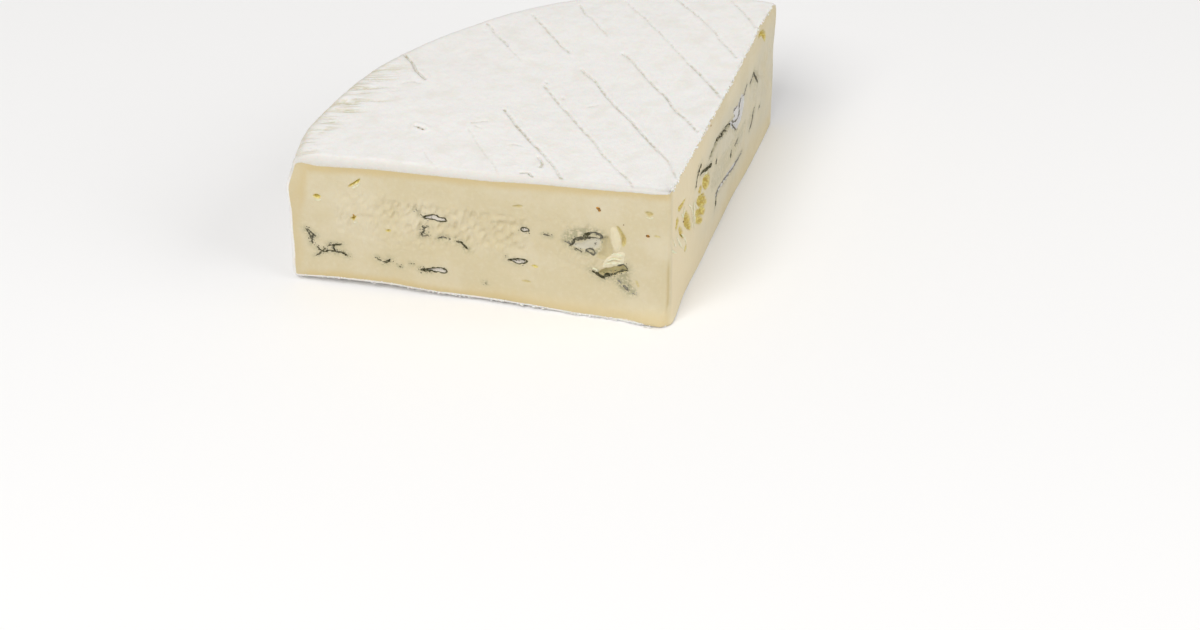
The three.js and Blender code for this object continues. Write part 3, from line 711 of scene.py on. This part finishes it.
# The stations along the outline: the runs where the top and the wall end, the steps on each, and
# how near the tip the first and the last station and the two poles lie.
top_run, wall_run = 112.0, 168.0
top_step, wall_step, base_stations = 0.58, 0.75, 22
tip_reach, pole_reach = 0.4, 0.15

# Creases that the drying mat pressed into the top, with a scratch, chips and small marks: how dark
# each is and the places that it passes.
mat_creases = [
    (1.9, [(-32, 113), (-32.5, 107), (-33.5, 101.5), (-33.5, 96)]),
    (1.1, [(-20.5, 66.5), (-21.5, 59), (-22, 52), (-22.5, 45), (-22.5, 37.5), (-23, 31.5), (-24.5, 20.5)]),
    (0.9, [(-0.5, 116), (-1, 109.5), (-1.5, 99.5)]),
    (0.3, [(-1.5, 99.5), (-2, 90)]),
    (0.8, [(-3, 73), (-4.5, 60), (-5, 51), (-5.5, 43), (-6, 35.5), (-7, 28)]),
    (0.7, [(-7, 28), (-7.5, 19), (-7.5, 13), (-8.5, 6.5)]),
    (0.8, [(14.5, 112.5), (14, 102.5), (13.5, 92), (13.5, 85.5)]),
    (1, [(12, 75), (12, 65.5), (10.5, 55.5), (10, 47.5), (10, 39), (9, 29.5), (8.5, 21.5)]),
    (0.6, [(8.5, 21.5), (8, 14.5), (5.5, 6)]),
    (0.7, [(31, 109.5), (29.5, 103), (30, 99.5), (29, 88)]),
    (1, [(28, 76), (28, 68.5), (27, 60), (26.5, 52), (26.5, 46.5), (25, 38), (25.5, 32), (24.5, 25)]),
    (0.6, [(45.5, 103.5), (45, 98.5), (45, 90.5), (44.5, 81), (43.5, 70.5), (43, 60.5)]),
    (1.1, [(43, 60.5), (42.5, 51.5), (42, 44.5), (41, 37.5)]),
    (0.8, [(60.5, 98.5), (60.5, 91), (60.5, 84.5), (60.5, 74.5), (59.5, 66.5), (58, 55.5)]),
    (0.8, [(76, 89.5), (75.5, 83), (74.5, 75), (73.5, 67)]),
    (0.25, [(-35.5, 62.5), (-37, 51), (-38, 41.5), (-39.5, 34)]),
    (0.25, [(-53, 58), (-53.5, 53), (-53.5, 46.5)]),
    (3.4, [(-48, 72.8), (-47.1, 70.2)]),
    (1.3, [(-24.5, 37.5), (-25, 34), (-26.5, 32.5)]),
    (0.9, [(-33, 33), (-31, 31.5)]),
    (1.7, [(-31.2, 31), (-31, 29)]),
    (0.7, [(-1.5, 74.4), (-1.5, 73.4)]),
    (0.7, [(-1.5, 63.4), (-1.5, 62.4)]),
    (0.5, [(-40.5, 97.5), (-38, 97), (-36, 94.5)]),
    (0.5, [(-33, 65), (-28.5, 63.5)]),
    (0.5, [(-33, 63), (-32, 61.5)]),
    (0.4, [(-28.5, 48.5), (-26, 46)]),
    (0.4, [(2.5, 54), (5.5, 53.5)]),
]


def crease_field(x, y):
    """Distance to the nearest crease, in millimetres, and how strongly it shows.  A crease wanders
    a little, as the ground under it is shifted by a slow unevenness."""
    nearest, shows = np.full_like(x, 5.0), np.zeros_like(x)
    x, y = x + 0.25 * grain(x, y, 6, 41) + 0.12 * grain(x, y, 2.2, 42), y + 0
    for dark, places in mat_creases:
        off = np.abs(line_distance(x, y, curve(places, steps=3)))
        closer = off < nearest
        nearest, shows = np.where(closer, off, nearest), np.where(closer, dark, shows)
    return nearest, shows


def rind_relief(x, y):
    """Height of the rind over its smooth top: the creases with a soft lip on both sides, shallow
    dimples, and a fine unevenness."""
    off, shows = crease_field(x, y)
    groove = -0.22 * shows * (1 - ease(0.1, 0.9, off))
    lips = 0.09 * shows * np.exp(-((off - 1.4) / 0.6) ** 2)
    dimples = 0.07 * grain(x, y, 3.4, 43) + 0.05 * grain(x, y, 1.5, 44) + 0.10 * grain(x, y, 11, 45)
    return groove + lips + dimples


def scuff_field(x, y):
    """Short scuffs by the left rim, where the cake was gripped: narrow bands that run across the
    shoulder, each starting at the rim and fading inwards, with random gaps between them.  Returns
    the bands and the whole scuffed stretch."""
    run, beside = 0.87 * x - 0.5 * y, 0.5 * x + 0.87 * y
    beside = beside + 0.05 * run + 0.8 * grain(run, beside, 9, 62)
    line = grain(beside, run / 14, 1.25, 61)
    inside = radius - np.hypot(x, y)
    longest = 16 + 7 * grain(beside, run * 0, 3.1, 63)
    here = ease(longest, longest * 0.4, inside) * ease(-0.25, -0.45, np.arctan2(x, y))
    return ease(0.05, 0.45, line) * here, here


def wall_relief(run, up):
    """Height of the rind wall: slanted upright creases, a soft fold at mid height, and dimples."""
    slant = run + 0.25 * up
    crease = -0.5 * np.exp(-(grain(slant, up / 6, 9, 51) / 0.10) ** 2) * ease(4, 12, up)
    fold = -0.3 * np.exp(-((up - 27 - 2.5 * grain(run, up * 0, 14, 52)) / 1.0) ** 2)
    return crease + fold * ease(-0.2, 0.4, grain(run, up * 0, 23, 53)) + 0.12 * grain(run, up, 3.2, 54)


def outline_stations():
    """The rind's outline from the tip over the top, down the wall and back under the base: the
    sharp outline, softened in the shoulder and the heel, and then marked off by its length.
    Returns each station's reach and height, and its direction inwards."""
    flat_places, wall_places = 900, 500
    corner = wall_radius(top_height(radius))
    out, back = np.linspace(tip_reach, corner, flat_places), np.linspace(radius, tip_reach, flat_places)
    reach = np.concatenate([out, np.full(wall_places, radius), back])
    up = np.concatenate([top_height(out), np.linspace(top_height(corner), 0, wall_places), 0 * back])
    reach = np.minimum(reach, wall_radius(up))
    drawn, dropped = soften(wall_radius(up) - reach, top_height(reach) - up, shoulder_round)
    reach, up = reach - drawn, up - dropped
    drawn, dropped = soften(wall_radius(up) - reach, up, heel_round)
    reach, up = reach - drawn, up + dropped
    length = np.concatenate([[0], np.cumsum(np.hypot(np.diff(reach), np.diff(up)))])
    base = np.linspace(0, 1, base_stations) ** 1.4 * (length[-1] - wall_run) + wall_run
    marks = np.concatenate([np.arange(0, top_run, top_step), np.arange(top_run, wall_run, wall_step), base])
    reach, up = np.interp(marks, length, reach), np.interp(marks, length, up)
    ahead = np.stack([np.gradient(reach), np.gradient(up)])
    ahead = ahead / np.hypot(*ahead)
    return reach, up, ahead[1], -ahead[0], marks


def hem_width(side, reach, rise, marks):
    """How far the rind reaches over a cut's edge: rise is -1 on the top, 0 on the wall, 1 on the
    base.  On the left top edge it widens towards the rim; everywhere its end is ragged."""
    if side == left:
        top = (1.9 + 0.036 * reach) * (1 - 0.2 * ease(110, 118, reach))
        wall, base, ragged = 1.6, 1.8, (0.04, 0.06)
    else:
        top, wall, base, ragged = 0.55, 0.7, 0.30, (0.30, 0.34)
    wide = wall + (top - wall) * np.clip(-rise, 0, 1) + (base - wall) * np.clip(rise, 0, 1)
    uneven = ragged[0] * grain(marks, marks * 0, 2.6, 71 + side)
    uneven = uneven + ragged[1] * grain(marks, marks * 0, 0.9, 73 + side)
    return np.maximum(wide + uneven, 0.12) * (0.65 + 0.35 * ease(0, 6, reach))


def rind_bands():
    """Closed bands, one at each station of the outline.  Each runs up the left hem, across the
    outside, down the right hem and back along the inside.  The edges are rounded, the outside
    creased, and the whole settled.  Returns the points, the two poles last, and the fields."""
    reach, up, lean, rise, marks = (a[:, None] for a in outline_stations())
    hems = []
    for side, shares in ((left, np.linspace(1, 0, hem_columns[left])[:-1]),
                         (right, np.linspace(0, 1, hem_columns[right])[1:])):
        over = hem_width(side, reach, rise, marks) * shares[None]
        stand = hem_proud - hem_sunk * shares[None] ** 3 + 0 * reach
        hems.append([reach + lean * over, up + rise * over, np.full(over.shape, side * half_angle), stand,
                     1 - shares + 0 * reach])
    angles = np.linspace(-half_angle, half_angle, across_columns)[None] + 0 * reach
    across = [reach + 0 * angles, up + 0 * angles, angles, hem_proud + 0 * angles, 1 + 0 * angles]
    inset = half_angle - np.minimum(0.35 * half_angle, hem_inside / reach)
    deep = np.minimum(rind_thick, 0.4 * reach)
    inside = []
    for side in (right, left):
        over = hem_width(side, reach, rise, marks)
        inside.append([reach + lean * over, up + rise * over, side * inset, -hem_inside + 0 * reach,
                       1 + 0 * reach])
    turns = np.linspace(1, -1, inner_columns)[None] * inset
    back = [reach + lean * deep + 0 * turns, up + rise * deep + 0 * turns, turns,
            -hem_inside + 0 * turns, 1 + 0 * turns]
    order = [hems[0], across, hems[1], inside[0], back, inside[1]]
    ring_reach, ring_up, angle, stand, hem = (np.concatenate(column, 1) for column in zip(*order))
    shape = angle.shape
    x, y = ring_reach * np.sin(angle), ring_reach * np.cos(angle)
    first_right = hem_columns[left] - 1 + across_columns
    for side, part in ((left, np.s_[:, :hem_columns[left] - 1]),
                       (right, np.s_[:, first_right:first_right + hem_columns[right] - 1])):
        x[part] -= inward[side][0] * stand[part]
        y[part] -= inward[side][1] * stand[part]
    on_hem = stand > hem_proud - hem_inside
    stand = np.where(on_hem, np.maximum(stand, 0), stand)
    x, y, z = round_edges(x.ravel(), y.ravel(), ring_up.ravel(), stand.ravel())

    outside = np.zeros(shape)
    outside[:, hem_columns[left] - 1:first_right] = 1
    outside = outside.ravel()
    on_top = np.clip(-rise + 0 * angle, 0, 1).ravel() * outside
    on_wall = np.clip(-lean + 0 * angle, 0, 1).ravel() * outside
    from_left, from_right = (x * inward[side][0] + y * inward[side][1] for side in (left, right))
    clear = ease(0.1, 1.6, np.minimum(from_left, from_right))
    crease, crease_shows = crease_field(x, y)
    scuff, worn = (field * outside * on_top for field in scuff_field(x, y))
    edge = ease(5.0, 1.5, radius - np.hypot(x, y)) * ease(-0.15, -0.5, np.arctan2(x, y)) * ease(38, 44, z)
    lift = (rind_relief(x, y) * on_top ** 2 - 0.22 * scuff) * clear
    dent = wall_relief(angle.ravel() * radius, z) * on_wall ** 2 * clear
    ring = np.hypot(x, y) + 1e-9
    fuzz = 0.05 * grain(marks[:, 0].repeat(shape[1]), angle.ravel() * radius, 0.8, 75) * outside
    swell = dent + fuzz * on_wall
    x, y, z = x + x / ring * swell, y + y / ring * swell, z + lift + fuzz * on_top
    points = np.stack(settle(x, y, z), -1)
    poles = np.array([0.0, 0.0]), np.array([pole_reach, pole_reach]), np.array([height, 0.0])
    points = np.concatenate([points, np.stack(settle(*round_edges(*poles, hem_proud)), -1)])
    # Where painted shade greys the rounded rind edge over the left cut's top.
    lip = ease(1.8, 0.2, x * inward[left][0] + y * inward[left][1]) * ease(36, 42, z)
    fields = {"hem": hem.ravel(), "crease": crease, "crease_shows": crease_shows * on_top * clear,
              "scuff": scuff, "lip": lip, "worn": worn, "edge": edge * outside}
    return points, {field: np.append(values, [1, 1]) for field, values in fields.items()}, shape


band_points, band_fields, (band_count, band_sides) = rind_bands()
rind = make_piece("rind", [(band_points, *tube_faces(band_count, band_sides))], band_fields)

rind_white = paint("#edeae6")
rind_shade = paint("#e6e2d9")
rind_lip_painted_shade = paint("#d8d4cc")
rind_worn = paint("#d2c8a0")
crease_tan_and_shade = paint("#a9a07e")


def rind_finish():
    """Matt white mould, velvety, with greyish yellow in the scuffs and in the creases, where it is partly
    painted shade; a painted shade greys the rounded edge over the left cut's top. At the hem over the cuts it
    thins out to the ripe paste's own colour."""
    finish = Finish("white_rind", Subsurface_Weight=0.08, Subsurface_Scale=0.002, Specular_IOR_Level=0.15,
                    Roughness=0.92)
    colour = finish.blend(rind_white, rind_shade, finish.noise(7.0, 4.0).fade(0.45, 0.7) * 0.6)
    colour = finish.blend(colour, rind_shade, finish.noise(1.2, 4.0).fade(0.5, 0.7) * 0.35)
    patchy = finish.noise(1.4, 3.0).fade(0.3, 0.6)
    colour = finish.blend(colour, rind_worn, finish.field("scuff") * patchy * 0.5)
    strokes = finish.noise(0.6, 2.0, (16, 1, 6), -0.52).fade(0.54, 0.66) * finish.field("worn")
    colour = finish.blend(colour, rind_worn, strokes * 0.5)
    blotchy = finish.noise(2.2, 3.0).fade(0.3, 0.6)
    colour = finish.blend(colour, rind_worn, finish.field("edge") * blotchy * 0.4)
    # Painted shade: the rounded edge over the left cut's top is greyed against the light it catches.
    colour = finish.blend(colour, rind_lip_painted_shade, finish.field("lip") * (finish.noise(2.5, 3.0) * 0.4 + 0.6))
    # The creases are darkened to a greyish tan: partly painted shade in them, partly their own tan colour.
    distance = finish.field("crease") + (finish.noise(1.3, 3.0) - 0.5) * 0.6
    line = distance.fade(0.65, 0.0) * finish.field("crease_shows")
    broken = finish.noise(1.8, 2.0).fade(0.44, 0.6)
    colour = finish.blend(colour, crease_tan_and_shade, line * (broken * 0.45 + 0.15))
    ragged = (finish.noise(0.6, 4.0) - 0.5) * 0.5
    colour = finish.blend(paste_ripe, colour, (finish.field("hem") + ragged).fade(0.0, 0.55))
    finish.set("Base Color", colour)
    fuzz = finish.noise(0.35, 4.0) * 0.8 + finish.noise(2.0, 4.0) * 0.7 - line * 1.2 - strokes
    finish.set("Normal", finish.bump(fuzz, 0.15))
    return finish.material


white_mould = rind_finish()
rind.data.materials.append(white_mould)
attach(rind, "root")


def cut_place(side, along, up, proud=0.0):
    """Points on a cut's opened surface, settled as the paste itself is, and moved out by proud."""
    depth, shares = cut_relief(side, along, up)
    x = along * outward_run[side][0] + (depth - proud) * inward[side][0]
    y = along * outward_run[side][1] + (depth - proud) * inward[side][1]
    return np.stack(settle(x, y, up), -1)


def lump(centre, axes, seed, stations=3, sides=5):
    """An uneven ball: its radius in each direction is 1 plus a slow wave, and three axes, given
    with their lengths, stretch it.  The rings go from one pole to the other."""
    tilt = np.pi * (np.arange(stations) + 1) / (stations + 1)
    turn = 2 * np.pi * np.arange(sides) / sides
    ring = np.stack([np.outer(np.sin(tilt), np.cos(turn)), np.outer(np.sin(tilt), np.sin(turn)),
                     np.outer(np.cos(tilt), np.ones(sides))], -1).reshape(-1, 3)
    ball = np.concatenate([ring, [[0, 0, 1], [0, 0, -1]]])
    swell = 1 + 0.22 * wave(ball[:, 0] * 25, ball[:, 1] * 25 + ball[:, 2] * 19, seed)
    swell = swell + 0.12 * wave(ball[:, 0] * 60, ball[:, 1] * 60 + ball[:, 2] * 47, seed + 2)
    return (centre + (ball * swell[:, None]) @ np.asarray(axes), *tube_faces(stations, sides))


def cut_axes(side, wide, high, deep, tilt=0.0):
    """The three axes of a body on a cut: along it, up it and out of it, turned by a tilt."""
    run, rise = np.array([*outward_run[side], 0.0]), np.array([0.0, 0.0, 1.0])
    c, s = np.cos(tilt), np.sin(tilt)
    return np.stack([(run * c + rise * s) * wide / 2, (rise * c - run * s) * high / 2,
                     -np.array([*inward[side], 0.0]) * deep])


# The edges that carry tufts: the side, the stretch along it, how far in from the edge the tufts
# begin and end, and how tall they are.
tufted_edges = [(right, (1.5, 118), -0.1, 1.0, 0.40), (left, (6, 116), 0.2, 1.2, 0.25)]
tuft_pitch = 0.32
random = np.random.default_rng(7)


def rind_tufts():
    """Tufts of mould that the knife pulled over the right cut's upper edge and the left cut's lower
    one: uneven balls at random places near the edge, half sunk in it, crowded in some stretches."""
    tufts = []
    for side, ends, low, high, tall in tufted_edges:
        along = np.arange(*ends, tuft_pitch)
        along = along + random.uniform(-0.6, 0.6, len(along))
        along = along[random.random(len(along)) < 0.62 + 0.38 * grain(along, along * 0, 5, 81 + side)]
        inset = random.uniform(low, high, len(along))
        up = top_height(along) - inset if side == right else inset
        centres = cut_place(side, along, up, random.uniform(-0.3, 0.15, len(along)))
        for centre in centres:
            wide, tilt = random.uniform(0.3, 1.1), random.uniform(-0.6, 0.6)
            axes = cut_axes(side, wide, tall * random.uniform(0.8, 2.2), random.uniform(0.15, 0.35), tilt)
            tufts.append(lump(centre, axes, random.uniform(0, 9), 4, 7))
    return tufts


tufts = rind_tufts()
tuft_piece = make_piece("rind_tufts", tufts, {"hem": np.ones(sum(len(tuft[0]) for tuft in tufts))})
tuft_piece.data.materials.append(white_mould)
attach(tuft_piece, "root")

# ------------------------------------------------------------------ the blue mould
# The mould that grows along the cracks in the paste, where the air reaches it: dark ragged threads
# and rings with specks of spores beside them.  The knife has cut them flush, so they are bodies
# half sunk in the two cuts.


thread_pitch = 0.22
thread_sides = 8


def thread(side, start, end, places, seed, rough, flat=0.55, proud=0.02):
    """A thread along a path on a cut: rings of points round the path, as thick as start at one end
    and end at the other.  A rough one wanders and its thickness varies; flat squashes it."""
    line, closed = stroke_line(places, 6)
    if closed:
        line = np.concatenate([line, line[:1]])
    length = np.concatenate([[0], np.cumsum(np.hypot(*np.diff(line, axis=0).T))])
    stations = max(int(length[-1] / thread_pitch), 5)
    run = np.linspace(0, length[-1], stations, endpoint=not closed)
    along, up = np.interp(run, length, line[:, 0]), np.interp(run, length, line[:, 1])
    along = along + 0.16 * rough * grain(run, run * 0, 0.6, seed)
    up = up + 0.16 * rough * grain(run, run * 0, 0.6, seed + 1)
    centre = cut_place(side, along, up, proud)
    share = run / length[-1]
    thick = (start + (end - start) * share) / 2 * (1 + 0.55 * rough * grain(run, run * 0, 0.5, seed + 2))
    if not closed:
        thick = thick * (0.3 + 0.7 * np.sqrt(np.clip(4 * share * (1 - share), 0, 1)))
    out = -np.array([*inward[side], 0.0])
    ahead = np.roll(centre, -1, 0) - np.roll(centre, 1, 0) if closed else np.gradient(centre, axis=0)
    across = np.cross(ahead, out)
    across = across / np.linalg.norm(across, axis=1, keepdims=True)
    turn = np.linspace(0, 2 * np.pi, thread_sides, endpoint=False)[None, :, None]
    around = np.cos(turn) * across[:, None] + flat * np.sin(turn) * out
    skin = (centre[:, None] + thick[:, None, None] * around).reshape(-1, 3)
    if not closed:
        skin = np.concatenate([skin, centre[:1] - ahead[:1] * 0.3, centre[-1:] + ahead[-1:] * 0.3])
    return (skin, *tube_faces(stations, thread_sides, closed))


# Each stroke is a thread with spores scattered round it, fewer round a ring.
spore_pitch = 0.32
spore_spread = 0.48
mould, paleness = [], []
for side in (left, right):
    for number, (start, end, pale, places) in enumerate(strokes[side]):
        line, closed = stroke_line(places)
        rough = 0.75 if closed else 1.0
        mould.append(thread(side, start, end, places, 200 + 5 * number + side, rough))
        paleness.append(np.full(len(mould[-1][0]), pale))
        count = int(2 + np.hypot(*np.diff(line, axis=0).T).sum() / spore_pitch * (0.4 if closed else 1.0))
        spots = line[random.integers(0, len(line), count)] + random.normal(0, spore_spread, (count, 2))
        centres = cut_place(side, spots[:, 0], spots[:, 1], 0.0)
        for centre, size in zip(centres, random.uniform(0.12, 0.5, count)):
            axes = cut_axes(side, size, size * random.uniform(0.6, 1.2), 0.08)
            mould.append(lump(centre, axes, random.uniform(0, 9)))
            paleness.append(np.full(len(mould[-1][0]), min(pale + random.uniform(0.0, 0.45), 1.0)))
blue_mould = make_piece("blue_mould", mould, {"pale": np.concatenate(paleness)})

mould_dark = paint("#3e3b27")
mould_grey = paint("#77735a")
mould_blue = paint("#a5a098")


def mould_finish():
    """Dark grey-green mould, blotched with a paler grey, and bluish where it has just grown."""
    finish = Finish("blue_mould_threads", Roughness=0.9, Specular_IOR_Level=0.15)
    colour = finish.blend(mould_dark, mould_grey, finish.noise(0.7, 4.0).fade(0.42, 0.66))
    finish.set("Base Color", finish.blend(colour, mould_blue, finish.field("pale")))
    finish.set("Normal", finish.bump(finish.noise(0.25, 3.0), 0.08))
    return finish.material


blue_mould.data.materials.append(mould_finish())
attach(blue_mould, "root")

# ------------------------------------------------------------------ the torn curd
# Where the knife met a hollow it tore the paste into bright ivory flakes and ridges, which stand a
# little proud of the cut between the caves.

# Each flake: its side, its thickness at the start and at the end, and the places that it passes.
flakes = [
    (right, 1.6, 1, [(25.6, 29.4), (26.6, 25), (27.6, 20.6), (26.8, 18.4)]),
    (right, 1.2, 0.7, [(24.2, 27.4), (25.4, 23), (25.2, 19.4)]),
    (right, 1, 0.6, [(15, 34.6), (14.6, 32.2), (14, 30.2)]),
    (right, 1.2, 0.7, [(14.4, 24.6), (16.4, 21.6), (17.6, 19)]),
    (right, 1, 0.6, [(2.6, 30.4), (4.2, 28), (5.8, 25.6)]),
    (right, 1.2, 0.7, [(6.8, 28.6), (9.4, 25), (12.2, 21.6), (14.4, 19.2)]),
    (right, 0.9, 0.6, [(1.6, 27.2), (4.4, 24.6), (7, 22.4)]),
    (right, 1, 0.6, [(27, 28.2), (29.2, 25.2), (31.2, 22.8)]),
    (right, 0.9, 0.6, [(19.4, 32.4), (22.4, 29.6), (24.6, 26.4)]),
    (right, 0.9, 0.5, [(12.2, 33.6), (13.6, 31.8), (15.2, 30.8)]),
    (right, 0.8, 0.5, [(36.6, 31.6), (39.8, 31), (42.8, 28.2)]),
    (left, 1, 0.7, [(20.4, 20.7), (17.6, 21.6), (15.2, 21.8)]),
    (left, 0.9, 0.7, [(19.4, 22.3), (17.2, 23.2), (15, 23.1)]),
    (left, 0.9, 0.6, [(18.2, 24.2), (16.4, 25.1), (14.6, 24.9)]),
    (left, 0.8, 0.5, [(24.2, 18.3), (23, 18), (22.8, 17.3)]),
    (left, 0.7, 0.4, [(111.9, 31.6), (110.7, 31.4), (109.8, 31.9)]),
    (left, 0.7, 0.4, [(99.6, 37.4), (98, 38.4), (97, 39.4)]),
    (left, 0.6, 0.4, [(100.2, 24.4), (99.2, 24.2), (98.4, 25)]),
    (left, 0.6, 0.4, [(7.4, 39.6), (6.2, 39.3), (5.2, 39.8)]),
    (right, 0.6, 0.4, [(18.2, 16.9), (17, 16.3), (15.8, 16.7)]),
]
curd = make_piece("torn_curd", [thread(side, start, end, places, 500 + 5 * number, 0.5, 0.42, 0.05)
                                for number, (side, start, end, places) in enumerate(flakes)])

curd_ivory = paint("#e9e0c4")
curd_shade = paint("#ddd2ae")


def curd_finish():
    """Ivory curd, brighter than the paste, with a slightly ripe mottle."""
    finish = Finish("torn_curd", Roughness=0.5, Specular_IOR_Level=0.35, Subsurface_Weight=0.15,
                    Subsurface_Scale=0.002)
    finish.set("Base Color", finish.blend(curd_ivory, curd_shade, finish.noise(1.1, 4.0).fade(0.4, 0.65)))
    finish.set("Normal", finish.bump(finish.noise(0.5, 4.0), 0.12))
    return finish.material


curd.data.materials.append(curd_finish())
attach(curd, "root")

# ------------------------------------------------------------------ the ripe specks
# Small red-brown specks of cheese cultures that have ripened in their own pinholes, here and there
# on both cuts.  They are flat uneven balls, half sunk in the paste.

# Each speck: its side, its place on the cut, its width and its height.
specks = [
    (left, 22.3, 40.9, 1.5, 1.1), (left, 21.9, 40.2, 0.9, 1), (left, 6.9, 32.8, 1.4, 1.1),
    (left, 14.4, 36, 0.4, 0.4), (right, 16.7, 17.8, 1.6, 1.1), (left, 99.6, 27.2, 0.6, 0.5),
    (right, 14.8, 29, 0.7, 0.8), (right, 29.8, 26, 0.8, 0.9), (right, 37.4, 24.6, 0.9, 0.8),
    (right, 20.9, 23.6, 0.6, 0.8), (right, 42.9, 46.8, 0.7, 0.5),
]
speck_bodies = []
for side, along, up, wide, high in specks:
    centre = cut_place(side, np.array([along]), np.array([up]), 0.02)[0]
    speck_bodies.append(lump(centre, cut_axes(side, wide, high, 0.14, 0.4), along, 5, 8))
ripe_specks = make_piece("ripe_specks", speck_bodies)

speck_brown = paint("#463010")
speck_orange = paint("#c68c34")


def speck_finish():
    """Red-brown, blotched with orange."""
    finish = Finish("ripe_specks", Roughness=0.45, Specular_IOR_Level=0.4)
    finish.set("Base Color", finish.blend(speck_brown, speck_orange, finish.noise(0.6, 3.0).fade(0.42, 0.6)))
    return finish.material


ripe_specks.data.materials.append(speck_finish())
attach(ripe_specks, "root")

# ------------------------------------------------------------------ camera, floor and light
# A plain white studio: a white floor, two soft boxes and an even sky.  The camera looks down at
# the tip from its left, as the photograph's did.

camera_place = np.array([-333.8, -544.0 + tip_y, 489.2])
camera_tilt, camera_roll, camera_turn = 52.749, 0.493, -29.977
focal_length = 77.9

camera_data = bpy.data.cameras.new("camera")
camera_data.sensor_width = 36.0
camera_data.lens = focal_length
camera_data.clip_start = 0.01
camera = bpy.data.objects.new("camera", camera_data)
camera.location = camera_place * MM
camera.rotation_euler = np.radians([camera_tilt, camera_roll, camera_turn])
bpy.context.scene.collection.objects.link(camera)
bpy.context.scene.camera = camera

floor_size = 6.0
floor_points = np.array([[-1, -1, 0], [1, -1, 0], [1, 1, 0], [-1, 1, 0]]) * floor_size / 2 / MM
floor = make_piece("floor", [(floor_points, np.array([[0, 1, 2, 3]]), np.zeros((0, 3), int))])
floor.data.materials.append(Finish("floor_white", Base_Color=paint("#f7f6f5"), Roughness=0.9,
                                   Specular_IOR_Level=0.1).material)


def lamp(name, place, aim, size, watts):
    """A square soft box at a place, in metres, turned to face its aim."""
    light = bpy.data.lights.new(name, "AREA")
    light.size, light.energy = size, watts
    box = bpy.data.objects.new(name, light)
    box.location = place
    box.rotation_euler = (Vector(place) - Vector(aim)).to_track_quat("Z", "Y").to_euler()
    bpy.context.scene.collection.objects.link(box)


wedge_middle = (0, 0, 0.02)
lamp("key", (-0.9, -0.5, 1.3), wedge_middle, 0.9, 15.4)
lamp("fill", (0.9, -1.0, 0.9), wedge_middle, 1.2, 8.5)
sky_strength = 0.45
world = bpy.data.worlds.new("studio")
world.use_nodes = True
sky = world.node_tree.nodes["Background"]
sky.inputs["Color"].default_value = (1, 1, 1, 1)
sky.inputs["Strength"].default_value = sky_strength
bpy.context.scene.world = world
bpy.context.scene.view_settings.view_transform = "Standard"
